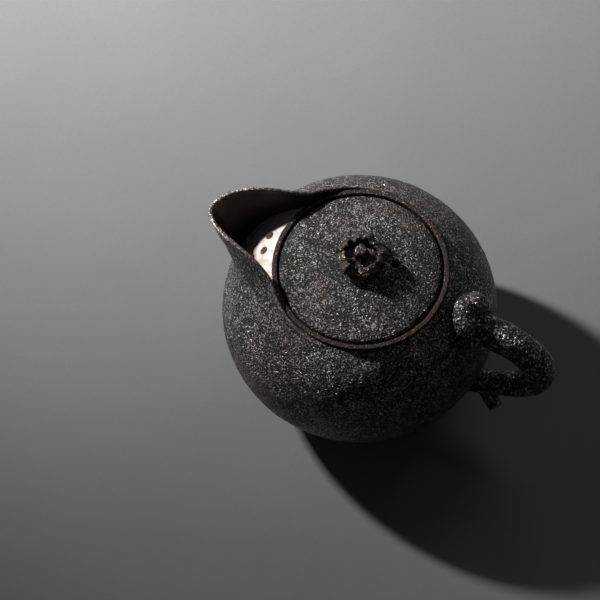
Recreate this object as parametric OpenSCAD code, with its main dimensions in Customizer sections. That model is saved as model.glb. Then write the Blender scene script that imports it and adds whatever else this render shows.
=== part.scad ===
// Small cast pouring pot with an open beak spout, a branch handle and a lift-off lid.
// Frame: Z up, origin on the pot's axis at the table, spout towards -X, handle towards +X.

/* [Pot body] */
// Largest diameter of the pot, at the belly
body_d = 100; // [84:1:126]
// Radius of the belly's arc in section
belly_r = 37; // [34:0.5:41]
// Thickness of the pot's wall
wall = 3.2; // [2.4:0.1:4]
// Diameter of the foot
foot_d = 52; // [44:1:60]
// Height of the foot where it meets the belly
foot_h = 4.5; // [3:0.5:6]
// Height of the pot's underside above the table
foot_drop = 1.5; // [1:0.1:2.5]

/* [Mouth and seat] */
// Width of the rim that shows round the lid
ring_w = 1.8; // [1.4:0.1:2.6]
// Height of the rim above the shoulder
ring_proud = 0.6; // [0.3:0.1:1.2]
// Width of the ledge that carries the lid
ledge_w = 3.4; // [2.8:0.1:4.5]
// Thickness of the ledge
ledge_t = 2.2; // [1.8:0.1:3]

/* [Lid] */
// Diameter of the lid
lid_d = 58; // [50:1:64]
// Gap all round between the lid and the rim
lid_gap = 0.9; // [0.5:0.1:1.4]
// Height of the lid's dome above its edge
lid_rise = 7.5; // [5:0.5:11]
// Height of the lid's edge above the ledge
lid_edge = 3; // [2.2:0.1:4]
// Thickness of the lid's dome
lid_t = 3; // [2.4:0.1:3.6]
// Thickness of the locating skirt
skirt_t = 2.4; // [1.8:0.1:3]
// Depth of the locating skirt
skirt_h = 7; // [4:0.5:10]
// Gap between the skirt and the ledge
skirt_gap = 0.9; // [0.5:0.1:1.4]
// Diameter of the steam vent
vent_d = 2.6; // [2:0.1:3.6]
// Distance of the vent from the axis
vent_r = 12.2; // [11.5:0.1:16]
// Direction of the vent, from +X
vent_turn = 15; // [-40:1:40]

/* [Knob] */
// Width of the rosette over its leaves
knob_d = 20; // [16:0.5:22]
// Height of the bud above the lid
knob_h = 9; // [7:0.5:13]
// Number of leaves in the rosette
leaf_count = 5; // [4:1:7]
// Thickness of a leaf
leaf_t = 1.5; // [1.1:0.1:2]
// Diameter of the knob's tang
tang_d = 4; // [3:0.1:5]
// Diameter of the washer under the lid
washer_d = 9; // [7.5:0.5:12]

/* [Spout] */
// How far the tip stands out past the belly
spout_reach = 7.2; // [5:0.1:13]
// Height of the tip above the rim
spout_rise = 6.2; // [3:0.1:9]
// Roundness of the tip, seen from above
tip_round = 8; // [4:0.5:10]
// Fullness of the beak's sides behind the tip
spout_full = 20; // [16:0.5:24]
// Width of the beak's lip
lip_w = 1.8; // [1.4:0.1:2.4]

/* [Strainer] */
// Diameter of a strainer hole
hole_d = 3; // [2:0.1:3.6]
// Distance between neighbouring holes
hole_pitch = 6.3; // [5:0.1:6.6]
// Sideways place of the middle of the holes' pattern
hole_shift = -1.1; // [-2:0.1:2]

/* [Handle] */
// How far the handle stands out past the belly
handle_reach = 26; // [22:0.5:34]
// Height of the handle's loop
handle_h = 44; // [38:0.5:50]
// Diameter of the branch at its upper end
branch_d = 12; // [8:0.1:12.5]
// Diameter of the branch at its lower end
branch_low_d = 8.4; // [7:0.1:10]
// Share by which the branch swells between its ends
branch_swell = 0.15; // [0:0.01:0.25]
// Diameter of the knot on the shoulder
knot_d = 19; // [16:0.5:21]
// Height of the knot above the shoulder
knot_h = 4.5; // [3:0.5:6]
// Length of the cut twig
twig_l = 12; // [9:0.5:14]
// Diameter of the cut twig
twig_d = 6.4; // [5:0.1:7]

/* [Hidden] */
$fn = 96;

sink = 1.2;                  // depth that grown-on pieces are let into the wall
core_r = body_d / 2 - belly_r;
belly_z = foot_drop + belly_r;
seat_r = lid_d / 2 + lid_gap;
ring_r = seat_r + ring_w;
mouth_r = seat_r - ledge_w;
rim_z = belly_z + shoulder_h(seat_r + ring_w / 2) + ring_proud;
ledge_z = rim_z - lid_edge;
dome_r = (pow(lid_d / 2, 2) + pow(lid_rise, 2)) / (2 * lid_rise);
dome_z = rim_z + lid_rise - dome_r;
lid_top = rim_z + lid_rise;
skirt_r = mouth_r - skirt_gap;
spout_r = body_d / 2 + spout_reach;
strainer_mid = 43.5;         // section angle of the middle row of holes

// Height of the shoulder above the belly at radius r
function shoulder_h(r) = sqrt(pow(belly_r, 2) - pow(r - core_r, 2));

// Point on the pot's skin: turn from -X, section angle up from the belly, height off the skin
function skin(turn, up, off = 0) =
    let (r = core_r + (belly_r + off) * cos(up))
    [-r * cos(turn), r * sin(turn), belly_z + (belly_r + off) * sin(up)];

function mix(a, b, t) = a + (b - a) * t;

// Point at t on the Bezier curve with the given control points
function bezier(p, t) =
    len(p) == 1 ? p[0] : bezier([for (i = [1:len(p) - 1]) mix(p[i - 1], p[i], t)], t);

// Closed skin over a row of rings, each with the same number of points
module loft(rings) {
    n = len(rings);
    m = len(rings[0]);
    sides = [for (i = [0:n - 2], j = [0:m - 1], k = [0, 1])
        let (a = i * m + j, b = i * m + (j + 1) % m)
        k == 0 ? [a, b, a + m] : [b, b + m, a + m]];
    strip = [for (j = [0:ceil(m / 2) - 2]) each
        j + 1 == m - 2 - j
            ? [[j, j + 1, m - 1 - j]]
            : [[j, j + 1, m - 1 - j], [j + 1, m - 2 - j, m - 1 - j]]];
    first = [for (f = strip) [f[2], f[1], f[0]]];
    last = [for (f = strip) [for (i = f) (n - 1) * m + i]];
    polyhedron([for (ring = rings) each ring], concat(sides, first, last));
}

// Section of the pot, of the given belly radius, to the axis
module pot_section(r) {
    intersection() {
        union() {
            translate([core_r, belly_z]) circle(r);
            translate([0, belly_z - r]) square([core_r, 2 * r]);
        }
        square([body_d, belly_z + belly_r + 1]);
    }
}

// Part of the wall, outside the seat ring, that lies under the beak's channel
module strainer_sector() {
    steps = 8;
    edge = [for (i = [0:steps])
        let (t = i / steps * floor_end, a = outer_foot(t), b = channel_foot(t))
        skin(mix(a.x, b.x, 0.5), mix(a.y, b.y, 0.5))];
    side = [for (p = edge) [p.y, p.z]];
    corner = side[len(side) - 1].x;
    intersection() {
        rotate_extrude() difference() {
            pot_section(belly_r);
            pot_section(belly_r - wall);
            square([ring_r, 2 * body_d]);
        }
        rotate([90, 0, -90]) linear_extrude(body_d) polygon(concat(
            [for (p = side) [-p.x, p.y]], [[-corner, rim_z], [corner, rim_z]],
            [for (i = [len(side) - 1:-1:1]) side[i]]));
    }
}

/* ---- pot ---- */
module pot_body() {
    color("#35302d") difference() {
        rotate_extrude() pot_section(belly_r);
        rotate_extrude() pot_section(belly_r - wall);
        translate([0, 0, belly_z]) cylinder(r = ring_r, h = 2 * belly_r);
        strainer_sector();
    }
}

module foot() {
    color("#2c2725") difference() {
        cylinder(d1 = foot_d, d2 = foot_d + 2, h = foot_h);
        rotate_extrude() pot_section(belly_r);
    }
}

module strainer_wall() {
    rows = [[-1, 2], [0, 3], [1, 2]];
    row_rise = hole_pitch * sqrt(3) / 2 / belly_r * 180 / PI;
    color("#a8988c") difference() {
        strainer_sector();
        for (row = rows) {
            up = strainer_mid + row[0] * row_rise;
            turn = hole_pitch / (core_r + belly_r * cos(up)) * 180 / PI;
            for (i = [0:row[1] - 1])
                rotate([0, 0, -(i - (row[1] - 1) / 2 + hole_shift / hole_pitch) * turn])
                    translate(skin(0, up, -wall * 1.5)) rotate([0, up - 90, 0])
                        cylinder(d = hole_d, h = wall * 2, $fn = 32);
        }
    }
}

module seat_ring() {
    color("#5a4436") rotate_extrude() polygon([
        [mouth_r, ledge_z - ledge_t], [ring_r, ledge_z - ledge_t], [ring_r, rim_z],
        [seat_r, rim_z], [seat_r, ledge_z], [mouth_r, ledge_z]]);
}

/* ---- spout ---- */
lip_r = ring_r + lip_w / 2;
beak = spout_r - lip_r;
lip_path = [
    [-spout_r, 0, rim_z + spout_rise], [-spout_r, tip_round, rim_z + spout_rise],
    [-lip_r - 0.2 * beak, spout_full, rim_z + spout_rise + 11.4],
    [-0.77 * lip_r, 5.8, rim_z + spout_rise - 1],
    [-0.8 * lip_r, 0.9 * lip_r, rim_z - 1.5], [-0.05 * lip_r, lip_r, rim_z - 2]];
ring_up = acos((ring_r - core_r) / belly_r);    // section angle of the skin at the seat ring
floor_up = 28;               // section angle of the channel's floor below the strainer
keel_up = 22;                // section angle at which the beak's keel leaves the belly
floor_end = 0.66;            // place along the lip where the channel closes on the seat ring
foot_spread = 6;             // degrees by which the beak's foot runs ahead of its lip
channel_turn = 52;           // turn from the tip over which the channel's foot would run the whole lip
root_fall = 4.5;             // degrees by which the beak's root ends below the seat ring
foot_dip = 0.3;              // depth at which the beak's faces meet the wall
waist_off = 0.4;             // height of the beak's waist above the skin

// Middle of the lip at t, 0 at the tip and 1 at the root, kept clear of the seat ring
function lip(t) =
    let (p = bezier(lip_path, t), k = max(1, lip_r / norm([p.x, p.y])))
    [p.x * k, p.y * k, p.z];

// Horizontal step to the channel's side of the lip at t
function lip_side(t) =
    let (d = lip(t + 0.01) - lip(t - 0.01))
    [d.y, -d.x, 0] / norm([d.x, d.y]);

function smooth(t) = let (s = min(1, max(0, t))) s * s * (3 - 2 * s);

function lip_turn(t) = let (p = lip(t)) atan2(p.y, -p.x);

// Turn and section angle at which the beak's outside meets the skin, at t along the lip
function outer_foot(t) = [
    lip_turn(t) + foot_spread * sin(180 * t),
    mix(keel_up, ring_up - root_fall, smooth(t))];

// Turn and section angle at which its channel meets the skin
function channel_foot(t) = [
    max(channel_turn * t, lip_turn(t)),
    mix(floor_up, ring_up, smooth(t / floor_end))];

// Section of the beak at t, 0 at the tip and 1 at the root, on the +Y side
function beak_ring(t) =
    let (mid = lip(t), side = lip_side(t) * lip_w * mix(0.5, 0.3, t))
    let (top_out = mid - side, top_in = mid + side, a = outer_foot(t), b = channel_foot(t))
    let (low_out = skin(a.x, a.y, -foot_dip), low_in = skin(b.x, b.y, -foot_dip))
    let (reach = [top_in.x - low_in.x, top_in.y - low_in.y, 0])
    let (waist = skin(mix(a.x, b.x, 0.5), mix(a.y, b.y, 0.5), waist_off))
    let (hollow = low_in + reach * 0.12 + [0, 0, 0.6])
    let (outer = [top_out, waist, waist, low_out], inner = [low_in, hollow, hollow, top_in])
    concat(
        [for (i = [0:9]) bezier(outer, i / 9)],
        [for (i = [1:4]) skin(mix(a.x, b.x, i / 5), mix(a.y, b.y, i / 5), -sink)],
        [for (i = [0:9]) bezier(inner, i / 9)],
        [mid + [0, 0, lip_w * mix(0.35, 0.2, t)]]);

module spout_beak() {
    steps = 26;
    near = [for (i = [steps:-1:0]) beak_ring(i / steps)];
    far = [for (i = [1:steps]) [for (p = beak_ring(i / steps)) [p.x, -p.y, p.z]]];
    color("#3a2e29") loft(concat(near, far));
}

/* ---- handle ---- */
top_up = 38;                 // section angle of the branch's upper root
low_up = -33;                // section angle of the branch's lower root
slew = 4;                    // sideways run of the branch at its lower root
top_root = skin(180, top_up, -2 * sink);
low_root = skin(180, low_up, -3 * sink);
belly_out = body_d / 2;
branch_path = [
    [top_root.x, 0, top_root.z],
    [belly_out + 0.04 * handle_reach, 0, belly_z + 0.37 * handle_h],
    [belly_out + 0.8 * handle_reach, 0, belly_z + 0.54 * handle_h],
    [belly_out + 1.31 * handle_reach, -0.3 * slew, belly_z - 0.15 * handle_h],
    [belly_out + 0.59 * handle_reach, -0.8 * slew, belly_z - 0.25 * handle_h],
    [low_root.x, -slew, low_root.z]];

function branch_ring(t, sides) =
    let (mid = bezier(branch_path, t), d = bezier(branch_path, t + 0.01) - bezier(branch_path, t - 0.01))
    let (across = [0, 1, 0], up = cross(d / norm(d), across))
    let (r = mix(branch_d, branch_low_d, t) / 2 * (1 + branch_swell * pow(sin(180 * t), 2)))
    [for (i = [0:sides - 1]) mid + r * (cos(i * 360 / sides) * across + sin(i * 360 / sides) * up)];

module handle_branch() {
    steps = 28;
    color("#37322f") difference() {
        loft([for (i = [0:steps]) branch_ring(i / steps, 18)]);
        rotate_extrude() pot_section(belly_r);
    }
}

module handle_knot() {
    rise = top_up;
    seat = skin(180, rise, -sink);
    r = knot_d / 2;
    h = knot_h + sink;
    lip = 0.3 * r;
    color("#3b3330") difference() {
        translate(seat) rotate([0, 90 - rise, 0]) rotate_extrude() difference() {
            union() {
                square([r - lip, h]);
                square([r, h - lip]);
                translate([r - lip, h - lip]) circle(lip);
            }
            translate([0, h + r * 0.7]) circle(r * 0.85);
            translate([-r * 2, -h]) square([r * 2, h * 4]);
        }
        rotate_extrude() pot_section(belly_r);
    }
}

module handle_twig() {
    start = bezier(branch_path, 0.93);
    color("#3a332f") difference() {
        translate(start) rotate([0, 138, -32]) cylinder(d1 = twig_d, d2 = twig_d * 0.84, h = twig_l);
        rotate_extrude() pot_section(belly_r);
    }
}

/* ---- lid ---- */
module dome_section(r) {
    intersection() {
        translate([0, dome_z]) circle(r);
        translate([0, ledge_z]) square([lid_d / 2, lid_d]);
    }
}

module lid_plate() {
    color("#3a3633") difference() {
        rotate_extrude() difference() {
            dome_section(dome_r);
            intersection() {
                dome_section(dome_r - lid_t);
                square([skirt_r - skirt_t, lid_top]);
            }
        }
        rotate([0, 0, vent_turn]) translate([vent_r, 0, ledge_z]) cylinder(d = vent_d, h = lid_d / 2);
        translate([0, 0, ledge_z]) cylinder(d = tang_d, h = lid_d / 2);
    }
}

module lid_skirt() {
    color("#3a3633") translate([0, 0, ledge_z - skirt_h]) difference() {
        cylinder(r = skirt_r, h = skirt_h);
        translate([0, 0, -1]) cylinder(r = skirt_r - skirt_t, h = skirt_h + 2);
    }
}

/* ---- knob ---- */
base_h = 2.4;                // height of the rosette's base above the lid
base_r = knob_d * 0.36;
washer_t = 1;
washer_z = dome_z + sqrt(pow(dome_r - lid_t, 2) - pow(washer_d / 2, 2)) - washer_t;
bud_r = min(knob_d * 0.17, (knob_h - base_h) / 2);  // the ball of the bud stands on the base
tang_rise = 1.5;             // how far the tang goes up into the base

module knob_base() {
    color("#55392b") difference() {
        translate([0, 0, lid_top - 2]) cylinder(r1 = base_r, r2 = base_r * 0.8, h = 2 + base_h);
        rotate_extrude() intersection() {
            translate([0, dome_z]) circle(dome_r);
            square([lid_d, lid_top + 1]);
        }
        translate([0, 0, lid_top - 3]) cylinder(d = tang_d, h = 3 + tang_rise);
    }
}

// One curled leaf: it springs from the base, leans outwards and curls back in at its tip
module leaf(size) {
    half_turn = 180 / leaf_count - 3;
    curl = [[0.4, 0.9], [0.85, 0.2], [1.2, 4.6], [0.66, 6.4]];
    across = 8;
    rows = 7;
    function place(u, v, off) =
        let (d = bezier(curl, v + 0.01) - bezier(curl, v - 0.01), fall = 1 - 0.14 * u * u)
        let (n = [d.y, -d.x * size] / norm([d.x * size, d.y]))
        let (p = bezier(curl, v), r = p.x * size * fall + n.x * off, h = p.y * fall + n.y * off)
        [r * cos(u * half_turn), r * sin(u * half_turn), lid_top + h];
    loft([for (i = [0:across]) let (u = 1 - 2 * i / across, off = leaf_t * (0.5 - 0.15 * u * u)) concat(
        [for (j = [0:rows]) place(u, j / rows, off)],
        [for (j = [rows:-1:0]) place(u, j / rows, -off)])]);
}

module knob_leaves() {
    color("#6a4634") for (i = [0:leaf_count - 1])
        rotate([0, 0, i * 360 / leaf_count + 20]) leaf(knob_d / 2 * (0.97 + 0.03 * cos(i * 150)));
}

module knob_bud() {
    color("#4e382d") difference() {
        union() {
            translate([0, 0, lid_top + base_h])
                cylinder(r1 = bud_r * 0.8, r2 = bud_r, h = knob_h - base_h - bud_r);
            translate([0, 0, lid_top + knob_h - bud_r]) sphere(bud_r);
        }
        translate([bud_r * 0.7, 0, lid_top + knob_h + bud_r * 0.3]) sphere(bud_r * 0.7);
    }
}

module knob_tang() {
    color("#4a4039") {
        translate([0, 0, washer_z]) cylinder(d = tang_d, h = lid_top + tang_rise - washer_z);
        translate([0, 0, washer_z - 1.4]) cylinder(d1 = tang_d * 1.2, d2 = tang_d * 1.6, h = 1.4);
    }
}

module knob_washer() {
    color("#4a4039") translate([0, 0, washer_z]) difference() {
        cylinder(d = washer_d, h = washer_t);
        translate([0, 0, -1]) cylinder(d = tang_d, h = washer_t + 2);
    }
}

pot_body();
foot();
strainer_wall();
seat_ring();
spout_beak();
handle_branch();
handle_knot();
handle_twig();
lid_plate();
lid_skirt();
knob_base();
knob_leaves();
knob_bud();
knob_tang();
knob_washer();
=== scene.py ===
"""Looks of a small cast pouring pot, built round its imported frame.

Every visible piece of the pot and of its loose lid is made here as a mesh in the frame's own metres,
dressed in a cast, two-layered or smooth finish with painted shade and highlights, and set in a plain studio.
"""

import logging
import math
from collections.abc import Sequence
from dataclasses import dataclass
from enum import Enum
from functools import cache

import bpy
import numpy as np
from mathutils import Euler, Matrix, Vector


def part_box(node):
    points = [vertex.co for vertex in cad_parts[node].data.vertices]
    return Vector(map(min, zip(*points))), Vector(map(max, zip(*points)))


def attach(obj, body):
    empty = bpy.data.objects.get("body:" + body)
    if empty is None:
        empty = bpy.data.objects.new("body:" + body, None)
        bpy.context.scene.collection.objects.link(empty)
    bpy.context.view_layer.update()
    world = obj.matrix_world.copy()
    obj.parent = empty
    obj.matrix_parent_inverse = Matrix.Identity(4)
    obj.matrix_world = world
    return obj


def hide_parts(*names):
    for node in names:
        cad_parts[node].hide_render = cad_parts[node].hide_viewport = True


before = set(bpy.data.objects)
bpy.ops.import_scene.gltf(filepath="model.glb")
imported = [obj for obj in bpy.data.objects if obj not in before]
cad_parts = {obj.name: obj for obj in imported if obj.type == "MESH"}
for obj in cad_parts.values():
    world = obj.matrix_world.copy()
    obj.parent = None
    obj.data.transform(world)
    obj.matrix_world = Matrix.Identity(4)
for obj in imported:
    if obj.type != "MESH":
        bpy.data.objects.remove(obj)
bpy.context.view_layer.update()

log = logging.getLogger("pouring_pot")
MM = 0.001

Piece = bpy.types.Object
Point = tuple[float, float]
Colour = tuple[float, float, float]


class Body(Enum):
    """The two bodies of the frame that pieces ride on."""

    POT = "pot"
    LID = "lid"


# ---------------------------------------------------------------- node graphs


class Value:
    """A node's output that takes part in Python arithmetic through Math nodes."""

    def __init__(self, graph: "Graph", socket: bpy.types.NodeSocket) -> None:
        """Keeps the graph that new nodes go into, and the wrapped socket."""
        self.graph = graph
        self.socket = socket

    def __add__(self, other: "Value | float") -> "Value":
        """Sum."""
        return self.graph.math("ADD", self, other)

    def __sub__(self, other: "Value | float") -> "Value":
        """Difference."""
        return self.graph.math("SUBTRACT", self, other)

    def __rsub__(self, other: "Value | float") -> "Value":
        """Difference from a plain number."""
        return self.graph.math("SUBTRACT", other, self)

    def __mul__(self, other: "Value | float") -> "Value":
        """Product."""
        return self.graph.math("MULTIPLY", self, other)

    def step(self, low: float, high: float) -> "Value":
        """Smooth step from 0 at low to 1 at high."""
        inputs = {"Value": self, "From Min": low, "From Max": high}
        made = self.graph.node("ShaderNodeMapRange", {"interpolation_type": "SMOOTHSTEP"}, inputs)
        return Value(self.graph, made.outputs[0])


class Graph:
    """A node tree that is filled by method calls."""

    def __init__(self, tree: bpy.types.NodeTree) -> None:
        """Wraps the tree that the nodes go into."""
        self.tree = tree

    def node(self, kind: str, settings: dict | None = None, inputs: dict | None = None) -> bpy.types.Node:
        """Adds one node.

        Args:
            kind: The node's type name.
            settings: Attributes set before its sockets.
            inputs: Socket name or index to a value or a link.

        Returns:
            The new node.
        """
        made = self.tree.nodes.new(kind)
        for key, value in (settings or {}).items():
            setattr(made, key, value)
        for key, value in (inputs or {}).items():
            self.feed(made.inputs[key], value)
        return made

    def feed(self, socket: bpy.types.NodeSocket, value: "Value | float | tuple") -> None:
        """Links a value to a socket, or sets the socket's own number."""
        if isinstance(value, Value):
            self.tree.links.new(value.socket, socket)
        elif isinstance(value, bpy.types.NodeSocket):
            self.tree.links.new(value, socket)
        else:
            socket.default_value = value

    def math(self, operation: str, *values: "Value | float") -> Value:
        """One Math node on one to three values."""
        made = self.node("ShaderNodeMath", {"operation": operation}, dict(enumerate(values)))
        return Value(self, made.outputs[0])

    def constant(self, number: float) -> Value:
        """A plain number as a node's output."""
        made = self.node("ShaderNodeValue")
        made.outputs[0].default_value = number
        return Value(self, made.outputs[0])

    def noise(self, scale: "Value | float", detail: float, seed: "Value | float" = 0.0,
              rough: float = 0.5, at: Value | None = None) -> Value:
        """Fractal noise, about 0 to 1.

        Args:
            scale: Cells per metre.
            detail: How many finer layers it has.
            seed: Picks one noise among many.
            rough: Strength of the finer layers.
            at: Where it is read, the surface's own place if not given.

        Returns:
            The noise.
        """
        inputs = {"Scale": scale, "Detail": detail, "Roughness": rough, "W": seed}
        if at is not None:
            inputs["Vector"] = at
        made = self.node("ShaderNodeTexNoise", {"noise_dimensions": "4D"}, inputs)
        return Value(self, made.outputs[0])

    def cells(self, scale: float, at: Value) -> Value:
        """Distance to the nearest of so many cell centres per metre."""
        made = self.node("ShaderNodeTexVoronoi", {"feature": "F1"}, {"Scale": scale, "Vector": at})
        return Value(self, made.outputs["Distance"])


@dataclass
class Channels:
    """What varies over a surface: colour, roughness, metal share and height in metres."""

    colour: Value
    rough: Value
    metal: Value
    height: Value


class ShaderGraph(Graph):
    """The nodes of one material, ending in one Principled shader."""

    def __init__(self, name: str) -> None:
        """Makes an empty material of that name."""
        self.material = bpy.data.materials.new(name)
        self.material.use_nodes = True
        super().__init__(self.material.node_tree)
        self.tree.nodes.clear()
        coords = self.node("ShaderNodeTexCoord")
        self.place = Value(self, coords.outputs["Object"])

    def mix(self, share: "Value | float", low: "Value | tuple", high: "Value | tuple") -> Value:
        """Mixes two colours.

        Args:
            share: 0 for low, 1 for high.
            low: First colour.
            high: Second colour.

        Returns:
            The mixed colour.
        """
        made = self.node("ShaderNodeMix", {"data_type": "RGBA"})
        self.feed(made.inputs["Factor"], share)
        for socket, colour in zip((made.inputs[6], made.inputs[7]), (low, high)):
            self.feed(socket, (*colour, 1.0) if isinstance(colour, tuple) else colour)
        return Value(self, made.outputs[2])

    def lerp(self, share: "Value | float", low: "Value | float", high: "Value | float") -> Value:
        """Mixes two numbers."""
        made = self.node("ShaderNodeMix", {"data_type": "FLOAT"})
        for index, value in enumerate((share, low, high)):
            self.feed(made.inputs[index if index == 0 else index + 1], value)
        return Value(self, made.outputs[0])

    def attribute(self, name: str) -> Value:
        """A number that the mesh carries at its points."""
        made = self.node("ShaderNodeAttribute", {"attribute_name": name})
        return Value(self, made.outputs["Fac"])

    def blend(self, share: "Value | float", low: Channels, high: Channels) -> Channels:
        """Mixes two sets of channels."""
        return Channels(
            self.mix(share, low.colour, high.colour),
            self.lerp(share, low.rough, high.rough),
            self.lerp(share, low.metal, high.metal),
            self.lerp(share, low.height, high.height),
        )

    def close(self, channels: Channels) -> bpy.types.Material:
        """Ends the graph in a shader and returns its material."""
        heights = {"Height": channels.height, "Strength": 1.0, "Distance": 1.0}
        bump = self.node("ShaderNodeBump", None, heights)
        shader = self.node("ShaderNodeBsdfPrincipled", None, {
            "Base Color": channels.colour,
            "Roughness": channels.rough,
            "Metallic": channels.metal,
            "Normal": bump.outputs[0],
            "IOR": 1.5,
        })
        self.node("ShaderNodeOutputMaterial", None, {"Surface": shader.outputs[0]})
        return self.material


# ---------------------------------------------------------------- finishes


@dataclass(frozen=True)
class Grain:
    """Coarse cast skin: black, with painted shade in its pits, grey crumbs, painted glints and rust.

    Attributes:
        pit_shade: Colour of the pits, darker than the ground as painted shade.
        mid: Colour of the ground between them.
        crumb: Colour of the raised crumbs and pale patches; on the raised grains it is partly painted light.
        fleck: Colour of the bright metal flecks, painted bright as glints.
        rust: Colour of the rusty patches.
        size: Width of a grain.
        height: Height of the grain.
        flecks: How many painted glint flecks there are, 0 to 1 and over.
        rusty: How much of it is rusty.
        pale: Strength of the crumbs' colour.
        seed: Picks one pattern among many.
        rough: Roughness of the ground.
    """

    pit_shade: Colour = (0.006, 0.005, 0.005)
    mid: Colour = (0.015, 0.012, 0.011)
    crumb: Colour = (0.300, 0.285, 0.280)
    fleck: Colour = (0.80, 0.78, 0.77)
    rust: Colour = (0.060, 0.030, 0.019)
    size: float = 0.75 * MM
    height: float = 1.5 * MM
    flecks: float = 0.5
    rusty: float = 0.25
    pale: float = 1.0
    seed: float = 0.0
    rough: float = 0.42

    def channels(self, graph: ShaderGraph) -> Channels:
        """Builds the finish's nodes in a material's graph."""
        at = graph.place
        fine = graph.noise(1 / self.size, 3.0, self.seed, 0.62, at)
        crumbs = graph.cells(1 / self.size, at)
        patch = graph.noise(260.0, 4.0, self.seed + 5, 0.65, at)
        broad = graph.noise(34.0, 3.0, self.seed + 9, 0.55, at)
        spark = graph.noise(1.5 / self.size, 2.0, self.seed + 3, 0.5, at)
        relief = fine * 0.8 + (1 - crumbs) * 0.2
        # Raised grains and pale patches take the crumb colour: painted light on the relief, over real pale
        # mottling.
        pale_and_lit_ridge = (fine + (patch - 0.5) * 0.30 + (broad - 0.5) * 0.25).step(0.53, 0.62)
        # Bright fleck colour: painted glints on the metal flecks.
        glint_share = (spark + (patch - 0.5) * 0.35 + (fine - 0.5) * 0.5).step(0.63 - 0.10 * self.flecks, 0.70)
        rust_share = (broad + patch * 0.6).step(0.86 - 0.3 * self.rusty, 1.1 - 0.3 * self.rusty)
        # Low places of the relief take the pit colour: painted shade in the pits.
        ground = graph.mix(fine.step(0.36, 0.56), self.pit_shade, self.mid)
        ground = graph.mix(pale_and_lit_ridge * self.pale, ground, self.crumb)
        ground = graph.mix(rust_share * 0.7, ground, self.rust)
        return Channels(
            graph.mix(glint_share, ground, self.fleck),
            self.rough - glint_share * 0.14 - pale_and_lit_ridge * 0.06,
            glint_share * 0.15 + pale_and_lit_ridge * 0.65 + 0.20,
            relief * self.height + patch * (0.35 * MM),
        )


@dataclass(frozen=True)
class Smooth:
    """Smooth rubbed skin: one colour that clouds into another, with fine pores.

    Attributes:
        colour: Colour of the skin; on the strainer it is painted highlight.
        cloud: Colour that it clouds into.
        rough: Roughness of the skin.
        rough_cloud: Roughness of the clouds.
        metal: Metal share, 0 to 1.
        pore: Depth of the pores.
        scale: Clouds per metre.
        seed: Picks one pattern among many.
    """

    colour: Colour
    cloud: Colour
    rough: float = 0.42
    rough_cloud: float = 0.58
    metal: float = 0.1
    pore: float = 0.03 * MM
    scale: float = 160.0
    seed: float = 0.0

    def channels(self, graph: ShaderGraph) -> Channels:
        """Builds the finish's nodes in a material's graph."""
        at = graph.place
        clouds = graph.noise(self.scale, 4.0, self.seed, 0.6, at)
        pores = graph.noise(1700.0, 3.0, self.seed + 2, 0.6, at)
        share = clouds.step(0.35, 0.68)
        return Channels(
            graph.mix(share * 0.8 + pores * 0.2, self.colour, self.cloud),
            graph.lerp(share, self.rough, self.rough_cloud),
            graph.constant(self.metal),
            pores * self.pore + clouds * (2 * self.pore),
        )


@dataclass(frozen=True)
class Layered:
    """The spout's skin: one finish outside, another in the channel, and a lip edge with painted highlight.

    Its piece carries "inside" and "edge", from 0 to 1 at each point.
    """

    outside: Grain
    inside: Smooth
    edge: Grain

    def channels(self, graph: ShaderGraph) -> Channels:
        """Builds the finish's nodes in a material's graph."""
        inside = graph.attribute("inside")
        channels = graph.blend(inside, self.outside.channels(graph), self.inside.channels(graph))
        return graph.blend(graph.attribute("edge"), channels, self.edge.channels(graph))


class Finish(Enum):
    """The named finishes of the pot's pieces."""

    BODY = "grained_iron"
    BRANCH = "branch_iron"
    STRAINER = "strainer_skin"
    RIM = "rim_brown"
    BEAK = "spout_brown"
    ROSETTE = "rosette_brown"
    FIXING = "fixing_iron"


SKINS = {
    Finish.BODY: Grain(),
    Finish.BRANCH: Grain(rusty=0.35, size=1.1 * MM, height=2.0 * MM, flecks=0.6, seed=20.0),
    # The strainer's pale colour is painted highlight of the key light, which it faces, clouded darker in
    # places.
    Finish.STRAINER: Smooth(
        colour=(0.78, 0.69, 0.65), cloud=(0.46, 0.36, 0.32),
        rough=0.36, rough_cloud=0.52, metal=0.0, pore=0.12 * MM, scale=420.0, seed=3.0),
    Finish.RIM: Grain(
        pit_shade=(0.005, 0.003, 0.002), mid=(0.010, 0.006, 0.005), crumb=(0.024, 0.013, 0.010),
        fleck=(0.40, 0.31, 0.27), rust=(0.034, 0.014, 0.010),
        size=0.8 * MM, height=0.6 * MM, flecks=0.1, rusty=0.5, pale=0.8, seed=4.0, rough=0.6),
    Finish.BEAK: Layered(
        outside=Grain(),
        inside=Smooth(
            colour=(0.040, 0.027, 0.023), cloud=(0.018, 0.013, 0.011),
            rough=0.46, rough_cloud=0.60, pore=0.05 * MM, scale=120.0, seed=6.0),
        # The lip's painted highlight: a paler grain thick with white flecks.
        edge=Grain(
            pit_shade=(0.030, 0.022, 0.018), mid=(0.090, 0.072, 0.064), crumb=(0.30, 0.28, 0.27),
            fleck=(0.90, 0.88, 0.86), rust=(0.080, 0.044, 0.030),
            size=0.9 * MM, height=0.5 * MM, flecks=1.3, rusty=0.2, seed=30.0)),
    Finish.ROSETTE: Grain(
        pit_shade=(0.008, 0.005, 0.004), mid=(0.030, 0.019, 0.014), crumb=(0.110, 0.080, 0.066),
        fleck=(0.60, 0.55, 0.52), rust=(0.050, 0.025, 0.016),
        size=0.9 * MM, height=1.1 * MM, flecks=0.4, rusty=0.5, pale=0.9, seed=40.0, rough=0.5),
    Finish.FIXING: Smooth(
        colour=(0.08, 0.07, 0.065), cloud=(0.04, 0.034, 0.03),
        rough=0.5, rough_cloud=0.62, metal=0.5, pore=0.05 * MM, scale=300.0, seed=8.0),
}


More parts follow.
